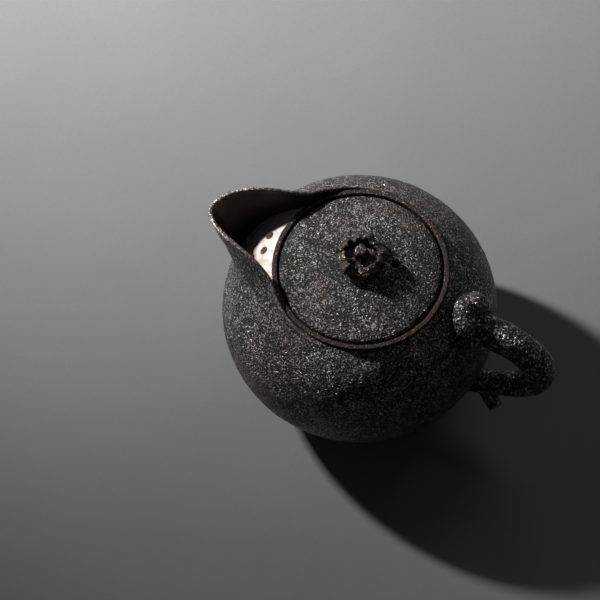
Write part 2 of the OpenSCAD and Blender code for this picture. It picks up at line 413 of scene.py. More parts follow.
@cache
def material(finish: Finish) -> bpy.types.Material:
    """The material of a finish, made once."""
    graph = ShaderGraph(finish.value)
    return graph.close(SKINS[finish].channels(graph))


# ---------------------------------------------------------------- meshes


def bezier(points: Sequence[Sequence[float]], t: float) -> np.ndarray:
    """Point at t on the Bezier curve with these control points."""
    rows = np.array(points, float)
    while len(rows) > 1:
        rows = rows[:-1] + (rows[1:] - rows[:-1]) * t
    return rows[0]


def smooth(t: float) -> float:
    """Smooth step from 0 to 1."""
    s = min(1.0, max(0.0, t))
    return s * s * (3 - 2 * s)


def mix(a: float, b: float, t: float) -> float:
    """Linear mix of two numbers or points."""
    return a + (b - a) * t


def new_object(name: str, points: np.ndarray, faces: list[tuple[int, ...]], soft: bool = True) -> Piece:
    """Makes a mesh object at the origin.

    Args:
        name: The piece's name.
        points: Places of the points, in metres.
        faces: Point numbers of each face, counter-clockwise from outside.
        soft: Whether its faces shade smoothly.

    Returns:
        The new object, linked to the scene.
    """
    mesh = bpy.data.meshes.new(name)
    mesh.from_pydata(np.asarray(points, float).tolist(), [], faces)
    mesh.polygons.foreach_set("use_smooth", [soft] * len(mesh.polygons))
    mesh.update()
    made = bpy.data.objects.new(name, mesh)
    bpy.context.scene.collection.objects.link(made)
    return made


def set_attribute(piece: Piece, name: str, values: Sequence[float]) -> None:
    """Stores one number per point on a piece."""
    layer = piece.data.attributes.new(name, "FLOAT", "POINT")
    layer.data.foreach_set("value", np.asarray(values, np.float32))


def ring_faces(rows: int, columns: int) -> list[tuple[int, ...]]:
    """Quads between successive closed rings of points.

    Args:
        rows: How many rings.
        columns: Points in each.

    Returns:
        The faces, facing out where the rings turn counter-clockwise about their direction of travel.
    """
    faces = []
    for row in range(rows - 1):
        low = row * columns
        for column in range(columns):
            after = (column + 1) % columns
            faces.append((low + column, low + after, low + columns + after, low + columns + column))
    return faces


def lathe(name: str, outline: Sequence[Point], columns: int) -> Piece:
    """Turns an outline about the pot's axis.

    Args:
        name: The piece's name.
        outline: (radius, height) points, round the section, the outside from the bottom up; a
            first and a last point on the axis close the shape there, and any other is a closed loop.
        columns: Points round the axis.

    Returns:
        The turned piece.
    """
    angles = np.linspace(0, 2 * np.pi, columns, endpoint=False)
    spokes = np.stack([np.cos(angles), np.sin(angles), np.zeros(columns)], axis=1)
    on_axis = outline[0][0] < 1e-9 and outline[-1][0] < 1e-9
    body = outline[1:-1] if on_axis else outline
    rows = [spokes * radius + np.array([0, 0, height]) for radius, height in body]
    points = np.concatenate(rows)
    faces = ring_faces(len(body), columns)
    last = (len(body) - 1) * columns
    if on_axis:
        low, high = len(points), len(points) + 1
        points = np.concatenate([points, [[0, 0, outline[0][1]], [0, 0, outline[-1][1]]]])
        faces += [(low, (c + 1) % columns, c) for c in range(columns)]
        faces += [(high, last + c, last + (c + 1) % columns) for c in range(columns)]
    else:
        faces += [(last + c, last + (c + 1) % columns, (c + 1) % columns, c) for c in range(columns)]
    return new_object(name, points, faces)


def fillet(corner: Point, before: Point, after: Point, radius: float, steps: int = 5) -> list[Point]:
    """Rounds one corner of an outline.

    Args:
        corner: The sharp corner.
        before: A point on the side that leads to it.
        after: A point on the side that leaves it.
        radius: How far from the corner the rounding starts.
        steps: Points on the rounding.

    Returns:
        The points that replace the corner.
    """
    c = np.array(corner)
    a = c + (np.array(before) - c) / np.linalg.norm(np.array(before) - c) * radius
    b = c + (np.array(after) - c) / np.linalg.norm(np.array(after) - c) * radius
    return [tuple(bezier((a, c, b), i / (steps - 1))) for i in range(steps)]


def rounded(outline: Sequence[Point], radius: float) -> list[Point]:
    """Rounds every corner of a closed outline."""
    n = len(outline)
    out = []
    for i, corner in enumerate(outline):
        out += fillet(corner, outline[i - 1], outline[(i + 1) % n], radius)
    return out


def loft(name: str, rings: Sequence[np.ndarray]) -> Piece:
    """Skins a row of rings of points and caps its ends with strips across them.

    Args:
        name: The piece's name.
        rings: Rings with the same number of points.

    Returns:
        The skinned piece.
    """
    columns = len(rings[0])
    points = np.concatenate(rings)
    faces = ring_faces(len(rings), columns)
    last = (len(rings) - 1) * columns
    for c in range((columns + 1) // 2 - 1):
        strip = list(dict.fromkeys((c, c + 1, columns - 2 - c, columns - 1 - c)))
        faces.append(tuple(reversed(strip)))
        faces.append(tuple(last + i for i in strip))
    return new_object(name, points, faces)


def aimed_places(name: str, points: list, aims: list) -> Piece:
    """A bare set of points, each with a direction."""
    made = new_object(name, np.array(points), [])
    layer = made.data.attributes.new("aim", "FLOAT_VECTOR", "POINT")
    layer.data.foreach_set("vector", np.array(aims, np.float32).ravel())
    return made


def drill_piece(name: str, radius: float, mouth: float, depth: float) -> Piece:
    """A cutter whose upper mouth opens in a soft round.

    Args:
        name: Its name.
        radius: The hole's radius.
        mouth: How wide the rounding is.
        depth: How far it cuts below the surface.

    Returns:
        The cutter, standing on +Z with the surface at its origin.
    """
    arc = [(radius + mouth * (1 - math.cos(a)), -mouth * (1 - math.sin(a)))
           for a in np.linspace(0, math.pi / 2, 6)]
    outline = [(0, -depth), (radius, -depth)] + arc + [(radius + mouth * 1.3, mouth * 4), (0, mouth * 4)]
    return lathe(name, outline, 40)


# ---------------------------------------------------------------- geometry nodes


class GeometryGraph(Graph):
    """A geometry-node tree with named inputs."""

    def __init__(self, name: str, inputs: dict[str, tuple[str, object]]) -> None:
        """Makes the tree.

        Args:
            name: The tree's name.
            inputs: Input name to its socket type and its default, None for one that is always given.
        """
        tree = bpy.data.node_groups.new(name, "GeometryNodeTree")
        super().__init__(tree)
        tree.interface.new_socket("Geometry", in_out="INPUT", socket_type="NodeSocketGeometry")
        for label, (kind, default) in inputs.items():
            socket = tree.interface.new_socket(label, in_out="INPUT", socket_type=kind)
            if default is not None:
                socket.default_value = default
        tree.interface.new_socket("Geometry", in_out="OUTPUT", socket_type="NodeSocketGeometry")
        self.start = self.node("NodeGroupInput")

    def input(self, name: str) -> Value:
        """One of the tree's named inputs."""
        return Value(self, self.start.outputs[name])

    def scaled(self, vector: "Value", factor: "Value | float") -> Value:
        """A vector times a number."""
        made = self.node("ShaderNodeVectorMath", {"operation": "SCALE"}, {0: vector, "Scale": factor})
        return Value(self, made.outputs[0])

    def finish(self, geometry: "Value | bpy.types.NodeSocket") -> bpy.types.NodeTree:
        """Ends the tree: realises instances and sets the material that the tree is given."""
        real = self.node("GeometryNodeRealizeInstances", None, {"Geometry": geometry})
        dressed = self.node("GeometryNodeSetMaterial", None,
                            {"Geometry": real.outputs[0], "Material": self.input("Material")})
        self.node("NodeGroupOutput", None, {"Geometry": dressed.outputs[0]})
        return self.tree


def grown(piece: Piece, tree: bpy.types.NodeTree, values: dict[str, object]) -> Piece:
    """Runs a geometry-node tree on a piece and keeps the result as its plain mesh.

    Args:
        piece: The piece that the tree starts from.
        tree: The tree.
        values: Input name to value.

    Returns:
        The same piece, with its new mesh and no modifier.
    """
    modifier = piece.modifiers.new("grown", "NODES")
    modifier.node_group = tree
    for item in tree.interface.items_tree:
        if item.item_type == "SOCKET" and item.in_out == "INPUT" and item.name in values:
            modifier[item.identifier] = values[item.name]
    evaluated = piece.evaluated_get(bpy.context.evaluated_depsgraph_get())
    mesh = bpy.data.meshes.new_from_object(evaluated, preserve_all_data_layers=True,
                                           depsgraph=bpy.context.evaluated_depsgraph_get())
    piece.modifiers.remove(modifier)
    old, piece.data = piece.data, mesh
    mesh.name = piece.name
    bpy.data.meshes.remove(old)
    return piece


def relief_tree() -> bpy.types.NodeTree:
    """Tree that raises a cast surface's lumps and grit along its normals, less where "hold" is 1."""
    graph = GeometryGraph("cast_relief", {
        "Lump Height": ("NodeSocketFloat", None),
        "Lump Scale": ("NodeSocketFloat", None),
        "Grit Height": ("NodeSocketFloat", None),
        "Grit Scale": ("NodeSocketFloat", 520.0),
        "Seed": ("NodeSocketFloat", None),
        "Material": ("NodeSocketMaterial", None),
    })
    held = graph.node("GeometryNodeInputNamedAttribute", {"data_type": "FLOAT"}, {"Name": "hold"})
    normal = graph.node("GeometryNodeInputNormal")
    lumps = graph.noise(graph.input("Lump Scale"), 1.5, graph.input("Seed"))
    grit = graph.noise(graph.input("Grit Scale"), 1.0, graph.input("Seed"))
    lift = (lumps - 0.5) * 2 * graph.input("Lump Height")
    lift = lift + (grit - 0.5) * 2 * graph.input("Grit Height")
    free = 1 - Value(graph, held.outputs[0])
    offset = graph.scaled(Value(graph, normal.outputs[0]), lift * free)
    moved = graph.node("GeometryNodeSetPosition", None,
                       {"Geometry": graph.input("Geometry"), "Offset": offset})
    return graph.finish(moved.outputs[0])


def pierce_tree() -> bpy.types.NodeTree:
    """Tree that cuts one round-mouthed hole at each of a second object's points, along its normal."""
    graph = GeometryGraph("pierced_wall", {
        "Places": ("NodeSocketObject", None),
        "Cutter": ("NodeSocketObject", None),
        "Sharp Angle": ("NodeSocketFloat", math.radians(38)),
        "Material": ("NodeSocketMaterial", None),
    })
    places = graph.node("GeometryNodeObjectInfo", None, {"Object": graph.input("Places")})
    cutter = graph.node("GeometryNodeObjectInfo", None, {"Object": graph.input("Cutter")})
    aim = graph.node("GeometryNodeInputNamedAttribute", {"data_type": "FLOAT_VECTOR"}, {"Name": "aim"})
    turn = graph.node("FunctionNodeAlignRotationToVector", {"axis": "Z"}, {"Vector": aim.outputs[0]})
    drills = graph.node("GeometryNodeInstanceOnPoints", None, {
        "Points": places.outputs["Geometry"],
        "Instance": cutter.outputs["Geometry"],
        "Rotation": turn.outputs[0],
    })
    real = graph.node("GeometryNodeRealizeInstances", None, {"Geometry": drills.outputs[0]})
    cut = graph.node("GeometryNodeMeshBoolean", {"operation": "DIFFERENCE", "solver": "EXACT"},
                     {"Mesh 1": graph.input("Geometry"), "Mesh 2": real.outputs[0]})
    angle = graph.node("GeometryNodeInputMeshEdgeAngle")
    soft = graph.node("FunctionNodeCompare", {"operation": "LESS_THAN"},
                      {"A": angle.outputs[0], "B": graph.input("Sharp Angle")})
    shaded = graph.node("GeometryNodeSetShadeSmooth", {"domain": "EDGE"},
                        {"Geometry": cut.outputs[0], "Shade Smooth": soft.outputs[0]})
    return graph.finish(shaded.outputs[0])


def sweep_tree() -> bpy.types.NodeTree:
    """Tree that sweeps a round section along a piece's one edge chain, as thick as its "girth"."""
    graph = GeometryGraph("grown_branch", {
        "Sides": ("NodeSocketInt", 40),
        "Bark Height": ("NodeSocketFloat", 0.55 * MM),
        "Bark Scale": ("NodeSocketFloat", 130.0),
        "Grit Height": ("NodeSocketFloat", 0.2 * MM),
        "Grit Scale": ("NodeSocketFloat", 900.0),
        "Seed": ("NodeSocketFloat", 1.0),
        "Material": ("NodeSocketMaterial", None),
    })
    path = graph.node("GeometryNodeMeshToCurve", None, {"Mesh": graph.input("Geometry")})
    girth = graph.node("GeometryNodeInputNamedAttribute", {"data_type": "FLOAT"}, {"Name": "girth"})
    section = graph.node("GeometryNodeCurvePrimitiveCircle", None,
                         {"Resolution": graph.input("Sides"), "Radius": 1.0})
    swept = graph.node("GeometryNodeCurveToMesh", None, {
        "Curve": path.outputs[0],
        "Profile Curve": section.outputs[0],
        "Scale": girth.outputs[0],
        "Fill Caps": True,
    })
    normal = graph.node("GeometryNodeInputNormal")
    bark = graph.noise(graph.input("Bark Scale"), 2.0, graph.input("Seed"))
    grit = graph.noise(graph.input("Grit Scale"), 1.0, graph.input("Seed"))
    lift = (bark - 0.5) * 2 * graph.input("Bark Height")
    lift = lift + (grit - 0.5) * 2 * graph.input("Grit Height")
    offset = graph.scaled(Value(graph, normal.outputs[0]), lift)
    moved = graph.node("GeometryNodeSetPosition", None,
                       {"Geometry": swept.outputs[0], "Offset": offset})
    shaded = graph.node("GeometryNodeSetShadeSmooth", None, {"Geometry": moved.outputs[0]})
    return graph.finish(shaded.outputs[0])


# ---------------------------------------------------------------- the pot's form


def corners(node: str) -> tuple[Vector, Vector]:
    """Lowest and highest corner of a frame node."""
    low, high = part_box(node)
    return Vector(low), Vector(high)


@dataclass
class PotForm:
    """The pot's skin, its lip line and the spout's feet, worked out from the frame.

    Lengths are in metres. A place on the skin is a turn from -X round the axis and a section angle
    up from the belly, both in degrees; keel_up, floor_up and ring_up are such section angles.
    """

    belly_r: float = 37 * MM
    wall: float = 3.2 * MM
    lip_w: float = 1.8 * MM
    rise: float = 6.2 * MM
    tip_round: float = 8 * MM
    full: float = 20 * MM
    keel_up: float = 22.0
    floor_up: float = 28.0
    floor_end: float = 0.66
    foot_spread: float = 6.0
    channel_turn: float = 52.0
    root_fall: float = 4.5
    window_lift: float = 0.4

    def __post_init__(self) -> None:
        """Reads the belly, the mouth and the spout from the frame's boxes."""
        low, high = corners("pot_body")
        self.core_r = high.x - self.belly_r
        self.belly_z = low.z + self.belly_r
        ring_low, ring_high = corners("seat_ring")
        self.ring_r = ring_high.x
        self.rim_z = ring_high.z
        self.ring_low = ring_low.z
        self.ring_up = math.degrees(math.acos((self.ring_r - self.core_r) / self.belly_r))
        self.spout_r = -corners("spout_beak")[0].x - self.lip_w / 2
        self.lip_r = self.ring_r + self.lip_w / 2
        beak, z = self.spout_r - self.lip_r, self.rim_z + self.rise
        # Control points of the lip's middle, from the tip to the root.
        self.path = [
            (-self.spout_r, 0, z),
            (-self.spout_r, self.tip_round, z),
            (-self.lip_r - 0.2 * beak, self.full, z + 11.4 * MM),
            (-0.77 * self.lip_r, 5.8 * MM, z - 1 * MM),
            (-0.8 * self.lip_r, 0.9 * self.lip_r, self.rim_z - 1.5 * MM),
            (-0.05 * self.lip_r, self.lip_r, self.rim_z - 2 * MM),
        ]
        feet = [(self.outer_foot(t) + self.channel_foot(t)) / 2
                for t in np.linspace(0, self.floor_end, 9)]
        side = np.array([self.skin(*foot) for foot in feet])
        self.window_z, self.window_y = side[:, 2], side[:, 1]
        lowest = math.asin((self.window_z[0] - self.belly_z) / self.belly_r)
        self.window_low = math.degrees(lowest) + self.window_lift

    def skin(self, turn: float, up: float, off: float = 0.0) -> np.ndarray:
        """Point on the pot's skin.

        Args:
            turn: Degrees round the axis from -X.
            up: Section angle in degrees, up from the belly.
            off: Height off the skin.

        Returns:
            The point.
        """
        a, b = math.radians(turn), math.radians(up)
        r = self.core_r + (self.belly_r + off) * math.cos(b)
        z = self.belly_z + (self.belly_r + off) * math.sin(b)
        return np.array([-r * math.cos(a), r * math.sin(a), z])

    def lip(self, t: float) -> np.ndarray:
        """Middle of the lip at t, 0 at the tip and 1 at the root, clear of the seat ring."""
        p = bezier(self.path, t)
        k = max(1.0, self.lip_r / math.hypot(p[0], p[1]))
        return np.array([p[0] * k, p[1] * k, p[2]])

    def lip_turn(self, t: float) -> float:
        """Turn of the lip's middle at t, in degrees from -X."""
        p = self.lip(t)
        return math.degrees(math.atan2(p[1], -p[0]))

    def outer_foot(self, t: float) -> np.ndarray:
        """Turn and section angle at which the beak's outside meets the skin."""
        return np.array([self.lip_turn(t) + self.foot_spread * math.sin(math.pi * t),
                         mix(self.keel_up, self.ring_up - self.root_fall, smooth(t))])

    def channel_foot(self, t: float) -> np.ndarray:
        """Turn and section angle at which the beak's channel meets the skin."""
        return np.array([max(self.channel_turn * t, self.lip_turn(t)),
                         mix(self.floor_up, self.ring_up, smooth(t / self.floor_end))])

    def window_half(self, up: float, off: float = 0.0) -> float:
        """Half the turn, in degrees, that the strainer's window takes at a section angle."""
        p = self.skin(0, up, off)
        half = float(np.interp(p[2], self.window_z, self.window_y))
        return math.degrees(math.asin(max(half, 0.5 * MM) / -p[0]))


@dataclass
class Pot:
    """The pot's body with its foot, strainer and seat ring."""

    form: PotForm
    columns: int = 480
    outer_rows: int = 140
    inner_rows: int = 34
    window_columns: int = 120
    edge: float = 0.35 * MM
    clearance: float = 0.9 * MM
    sunk: float = 0.3 * MM
    sunk_over: float = 6.0

    def body(self) -> Piece:
        """The bellied wall, open at the mouth and at the strainer's window.

        Returns:
            The piece.
        """
        form, n = self.form, self.columns
        top, low = form.ring_up, form.window_low
        upper = round(self.outer_rows * (top - low) / (top + 90))
        coarse = max(4, round(self.inner_rows * (top - low) / (top + 90)))
        ups = np.concatenate([np.linspace(top, low, upper + 1),
                              np.linspace(low, -90, self.outer_rows - upper + 1)[1:]])
        ups_in = np.concatenate([np.linspace(top, low, coarse + 1),
                                 np.linspace(low, -90, self.inner_rows - coarse + 1)[1:]])
        sunk = [-self.sunk * smooth((top - u) / self.sunk_over) for u in ups]
        rows = [np.array([form.skin(t, u, off) for t in self._turns(u, low)]) for u, off in zip(ups, sunk)]
        rows_in = [self._inner_row(u, low) for u in ups_in]
        points = np.concatenate(rows + rows_in + [[[0, 0, rows[-1][0][2]], [0, 0, rows_in[-1][0][2]]]])
        first, last = (n - self.window_columns) // 2, (n + self.window_columns) // 2
        open_here = [first <= c < last for c in range(n)]
        base = len(rows) * n
        faces = []
        for r in range(len(rows) - 1):
            faces += [(r * n + c, r * n + (c + 1) % n, (r + 1) * n + (c + 1) % n, (r + 1) * n + c)
                      for c in range(n) if not (open_here[c] and r < upper)]
        for r in range(len(rows_in) - 1):
            faces += [(base + (r + 1) * n + c, base + (r + 1) * n + (c + 1) % n,
                       base + r * n + (c + 1) % n, base + r * n + c)
                      for c in range(n) if not (open_here[c] and r < coarse)]
        faces += [(base + c, base + (c + 1) % n, (c + 1) % n, c) for c in range(n) if not open_here[c]]
        faces += self._window_sides(first, last, upper, coarse, base)
        end, end_in = (len(rows) - 1) * n, base + (len(rows_in) - 1) * n
        pole = len(points) - 2
        faces += [(end + c, end + (c + 1) % n, pole) for c in range(n)]
        faces += [(end_in + (c + 1) % n, end_in + c, pole + 1) for c in range(n)]
        piece = new_object("pot_shell", points, [tuple(reversed(f)) for f in faces])
        set_attribute(piece, "hold", self._hold(points, base))
        return piece

    def _turns(self, up: float, low: float, off: float = 0.0) -> np.ndarray:
        """Turn of each column of a row, with the window's columns between its two sides."""
        half = self.form.window_half(max(up, low), off)
        wide, rest = self.window_columns, (self.columns - self.window_columns) // 2
        left = np.linspace(-180, -half, rest, endpoint=False)
        middle = np.linspace(-half, half, wide, endpoint=False)
        right = np.linspace(half, 180, rest, endpoint=False)
        return np.concatenate([left, middle, right])

    def _inner_row(self, up: float, low: float) -> np.ndarray:
        """One ring of the inner skin; the topmost meets the seat ring's wall."""
        form = self.form
        off = -form.wall if up < form.ring_up - 1e-6 else 0.0
        row = np.array([form.skin(t, up, off) for t in self._turns(up, low, off)])
        if off == 0.0:
            row[:, 2] = form.ring_low
        return row

    def _window_sides(self, first: int, last: int, rows: int, rows_in: int, base: int) -> list:
        """The thickness of the wall round the strainer's window."""
        n = self.columns
        down = [r * n for r in range(rows + 1)]
        up = [base + r * n for r in range(rows_in, -1, -1)]
        left = [i + first for i in down + up]
        right = [i + last for i in down + up]
        faces = [tuple(reversed(left)), tuple(right)]
        for c in range(first, last):
            faces.append((rows * n + c, rows * n + c + 1, base + rows_in * n + c + 1, base + rows_in * n + c))
        return faces

    def _hold(self, points: np.ndarray, base: int) -> np.ndarray:
        """Where the relief must not move the skin: inside, at the seat and at the foot."""
        form = self.form
        radius = np.hypot(points[:, 0], points[:, 1])
        near_ring = np.clip(1 - (radius - form.ring_r) / (1.5 * MM), 0, 1) * (points[:, 2] > form.belly_z)
        foot = np.clip(1 - (points[:, 2] - corners("foot")[1].z) / (2 * MM), 0, 1)
        hold = np.maximum(near_ring, foot)
        hold[base:] = 1.0
        return hold

    def foot(self) -> Piece:
        """The low flat foot."""
        low, high = corners("foot")
        r, h, e = high.x - 1 * MM, high.z, 0.7 * MM
        outline = [(0, low.z), (r - e, low.z)]
        outline += fillet((r, low.z), (0, low.z), (r + 1 * MM, h), e)
        inner = self.form.core_r + math.sqrt(self.form.belly_r ** 2 - (self.form.belly_z - h) ** 2)
        outline += [(r + 0.9 * MM, h - 0.3 * MM), (r + 0.6 * MM, h), (inner - 2 * MM, h), (0, h)]
        return lathe("foot_disc", outline, 240)

    def ring(self) -> Piece:
        """The smooth rim round the lid, with the ledge that the lid rests on."""
        form = self.form
        ring_low, ring_high = corners("seat_ring")
        skirt = corners("lid_skirt")[1]
        seat = corners("lid_plate")[1].x + self.clearance
        mouth = skirt.x + self.clearance
        low, high = ring_low.z, ring_high.z
        outline = [(mouth, low), (form.ring_r, low), (form.ring_r, high)]
        outline += [(seat, high), (seat, skirt.z), (mouth, skirt.z)]
        piece = lathe("mouth_ring", rounded(outline, self.edge), 300)
        z = np.array([v.co.z for v in piece.data.vertices])
        set_attribute(piece, "hold", np.clip((high - z) / (2 * MM), 0.3, 1.0))
        return piece


@dataclass
class Strainer:
    """The pierced panel of wall at the back of the spout."""

    form: PotForm
    hole_r: float = 1.5 * MM
    pitch: float = 6.3 * MM
    mid_up: float = 43.5
    shift: float = -1.1 * MM
    mouth: float = 0.35 * MM
    across: int = 140
    rows: int = 60

    def panel(self) -> Piece:
        """The unpierced panel."""
        form = self.form
        shares = np.linspace(-1, 1, self.across)
        ups = np.linspace(form.window_low, form.ring_up, self.rows)
        out_half = [form.window_half(u) for u in ups]
        in_half = [form.window_half(u, -form.wall) for u in ups]
        outer = [[form.skin(k * h, u, 0.02 * MM) for u, h in zip(ups, out_half)] for k in shares]
        inner = [[form.skin(k * h, u, -form.wall) for u, h in zip(ups[::-1], in_half[::-1])] for k in shares]
        rings = [np.array(o + i) for o, i in zip(outer, inner)]
        return loft("strainer_panel", rings[::-1])

    def places(self) -> Piece:
        """One point per hole, on the skin, that carries the hole's direction."""
        form = self.form
        row_rise = math.degrees(self.pitch * math.sqrt(3) / 2 / form.belly_r)
        points, aims = [], []
        for row, count in ((-1, 2), (0, 3), (1, 2)):
            up = self.mid_up + row * row_rise
            step = math.degrees(self.pitch / (form.core_r + form.belly_r * math.cos(math.radians(up))))
            for i in range(count):
                turn = (i - (count - 1) / 2 + self.shift / self.pitch) * step
                points.append(form.skin(turn, up))
                aims.append(form.skin(turn, up, 1.0) - form.skin(turn, up))
        return aimed_places("strainer_hole_places", points, aims)

@dataclass
class Beak:
    """The open beak spout."""

    form: PotForm
    sink: float = 1.2 * MM
    foot_dip: float = 0.7 * MM
    waist_off: float = 0.2 * MM
    steps: int = 150
    wall_rows: int = 60

    def section(self, t: float) -> tuple[np.ndarray, np.ndarray, np.ndarray]:
        """One section of the beak on the +Y side.

        Args:
            t: Place along the lip.

        Returns:
            The section's points, from the lip down the outside, under and up the inside, how far
            each belongs to the channel, 0 to 1, and how much painted highlight each gets on the lip's edge.
        """
        form = self.form
        mid = form.lip(t)
        d = form.lip(t + 0.01) - form.lip(t - 0.01)
        side = np.array([d[1], -d[0], 0]) / math.hypot(d[0], d[1]) * form.lip_w * mix(0.5, 0.3, t)
        a, b = form.outer_foot(t), form.channel_foot(t)
        top_out, top_in = mid - side, mid + side
        low_out, low_in = form.skin(*a, -self.foot_dip), form.skin(*b, -self.foot_dip)
        reach = np.array([top_in[0] - low_in[0], top_in[1] - low_in[1], 0])
        waist = form.skin(*((a + b) / 2), self.waist_off)
        hollow = low_in + reach * 0.12 + np.array([0, 0, 0.6 * MM])
        outer, inner = [top_out, waist, waist, low_out], [low_in, hollow, hollow, top_in]
        n, k = self.wall_rows, self.wall_rows // 2
        points = [bezier(outer, i / n) for i in range(n + 1)]
        points += [form.skin(*(a + (b - a) * i / 5), -self.sink) for i in range(1, 5)]
        points += [bezier(inner, i / k) for i in range(k + 1)]
        crown = form.lip_w * mix(0.45, 0.25, t)
        points += [mid + side * math.cos(w) + np.array([0, 0, crown * math.sin(w)])
                   for w in np.linspace(0, math.pi, 7)[1:-1]]
        inside = [0.0] * (n + 1 + 4) + [1.0] * (k + 1) + [0.9, 0.8, 0.7, 0.5, 0.3]
        # Painted highlight along the lip's crown and the top of its outside, fading from the tip towards the
        # root.
        edge = [1.0, 0.4] + [0.0] * (n + 3 + k) + [0.3, 0.7, 1.0, 1.0, 1.0, 1.0]
        glint_share = np.array(edge) * mix(1.0, 0.35, smooth(t * 1.6))
        return np.array(points), np.array(inside), glint_share

    def shell(self) -> Piece:
        """The beak's shell, with its channel marked."""
        places = np.linspace(1, 0, self.steps + 1)
        near = [self.section(t) for t in places]
        far = [(p * [1, -1, 1], i, e) for p, i, e in reversed(near[:-1])]
        rings = near + far
        piece = loft("beak_spout", [p for p, _, _ in rings])
        inside = np.concatenate([i for _, i, _ in rings])
        set_attribute(piece, "inside", inside)
        set_attribute(piece, "edge", np.concatenate([e for _, _, e in rings]))
        set_attribute(piece, "hold", np.clip(inside * 1.2, 0, 1))
        return piece


@dataclass
class Handle:
    """The bent branch with its knot and its cut twig."""

    form: PotForm
    reach: float = 26 * MM
    height: float = 44 * MM
    slew: float = 4 * MM
    top_up: float = 38.0
    low_up: float = -33.0
    top_sink: float = 2.4 * MM
    low_sink: float = 3.0 * MM
    upper_r: float = 5.85 * MM
    lower_r: float = 4.1 * MM
    swell: float = 0.15
    knot_up: float = 38.0
    knot_r: float = 9.5 * MM
    knot_h: float = 4.5 * MM
    twig_at: float = 0.93
    twig_tilt: float = 138.0
    twig_turn: float = -32.0
    twig_length: float = 11.4 * MM
    twig_r: float = 3.25 * MM
    steps: int = 110
    knot_rows: int = 46
    knot_columns: int = 120
    twig_columns: int = 48

    def __post_init__(self) -> None:
        """Lays out the branch's path between its two roots."""
        form = self.form
        out, z = form.core_r + form.belly_r, form.belly_z
        top = form.skin(180, self.top_up, -self.top_sink)
        low = form.skin(180, self.low_up, -self.low_sink)
        self.path = [
            (top[0], 0, top[2]),
            (out + 0.04 * self.reach, 0, z + 0.37 * self.height),
            (out + 0.8 * self.reach, 0, z + 0.54 * self.height),
            (out + 1.295 * self.reach, -0.3 * self.slew, z - 0.15 * self.height),
            (out + 0.59 * self.reach, -0.8 * self.slew, z - 0.25 * self.height),
            (low[0], -self.slew, low[2]),
        ]

    def branch(self) -> Piece:
        """The branch's centre line as a chain of edges that carries its girth."""
        places = np.linspace(0, 1, self.steps + 1)
        points = np.array([bezier(self.path, t) for t in places])
        knuckles = sum(high * MM * np.exp(-((places - at) / 0.05) ** 2)
                       for at, high in ((0.22, 0.25), (0.44, 0.2), (0.68, 0.3)))
        flare = 0.6 * MM * np.exp(-places / 0.06) + 1.2 * MM * np.exp(-(1 - places) / 0.05)
        swell = 1 + self.swell * np.sin(np.pi * places) ** 2
        girth = (self.upper_r + (self.lower_r - self.upper_r) * places) * swell + knuckles + flare
        mesh = bpy.data.meshes.new("handle_bough")
        mesh.from_pydata(points.tolist(), [(i, i + 1) for i in range(self.steps)], [])
        piece = bpy.data.objects.new("handle_bough", mesh)
        bpy.context.scene.collection.objects.link(piece)
        set_attribute(piece, "girth", girth)
        return piece

    def knot(self) -> Piece:
        """The callused knot on the shoulder: a lumpy ring round a sunken heart."""
        form = self.form
        base = form.skin(180, self.knot_up)
        axis = form.skin(180, self.knot_up, 1.0) - base
        side = np.array([0, 1.0, 0])
        up = np.cross(axis, side)
        rings = []
        for i in range(self.knot_rows + 1):
            s = i / self.knot_rows
            ring = []
            for c in range(self.knot_columns):
                w = 2 * math.pi * c / self.knot_columns
                lobes = 1 + 0.05 * math.sin(2 * w + 0.6) + 0.04 * math.sin(3 * w + 2) + 0.02 * math.sin(5 * w)
                r, h = self._knot_outline(s, w)
                ring.append(base + axis * h + (side * math.cos(w) + up * math.sin(w)) * r * lobes)
            rings.append(np.array(ring))
        return loft("handle_knot_boss", rings)

    def _knot_outline(self, s: float, w: float) -> tuple[float, float]:
        """Radius and height of the knot's section at s, 0 under the skin and 1 at its heart."""
        r, h = self.knot_r, self.knot_h * (0.9 + 0.16 * math.sin(w + 0.8) + 0.08 * math.sin(3 * w))
        outline = [(r * 1.02, -2.2 * MM), (r * 1.06, 0.4 * h), (r * 1.02, 1.15 * h), (r * 0.66, 1.25 * h),
                   (r * 0.5, 1.15 * h), (r * 0.2, 0.95 * h), (0.0, 0.95 * h)]
        p = bezier(outline, s)
        return max(p[0], 0.05 * MM), p[1]

    def twig(self) -> Piece:
        """The cut twig at the branch's lower end."""
        start = bezier(self.path, self.twig_at)
        tilt, turn = math.radians(self.twig_tilt), math.radians(self.twig_turn)
        axis = np.array([math.sin(tilt) * math.cos(turn), math.sin(tilt) * math.sin(turn), math.cos(tilt)])
        side = np.array([-math.sin(turn), math.cos(turn), 0])
        up = np.cross(axis, side)
        # Share of the twig's radius and of its length, along its side, over its cut and to its heart.
        profile = [(1.0, 0.0), (0.99, 0.3), (0.93, 0.6), (0.86, 0.85), (0.84, 0.97), (0.80, 1.0),
                   (0.70, 0.995), (0.55, 0.965), (0.40, 0.95), (0.25, 0.955), (0.08, 0.95)]
        rings = []
        for k, along in profile:
            angles = np.linspace(0, 2 * math.pi, self.twig_columns, endpoint=False)
            wobble = 1 + 0.05 * np.sin(3 * angles + along * 2) + 0.03 * np.sin(7 * angles)
            middle = start + axis * along * self.twig_length
            rings.append(np.array([middle + (side * math.cos(a) + up * math.sin(a)) * self.twig_r * k * q
                                   for a, q in zip(angles, wobble)]))
        return loft("handle_twig_stub", rings)


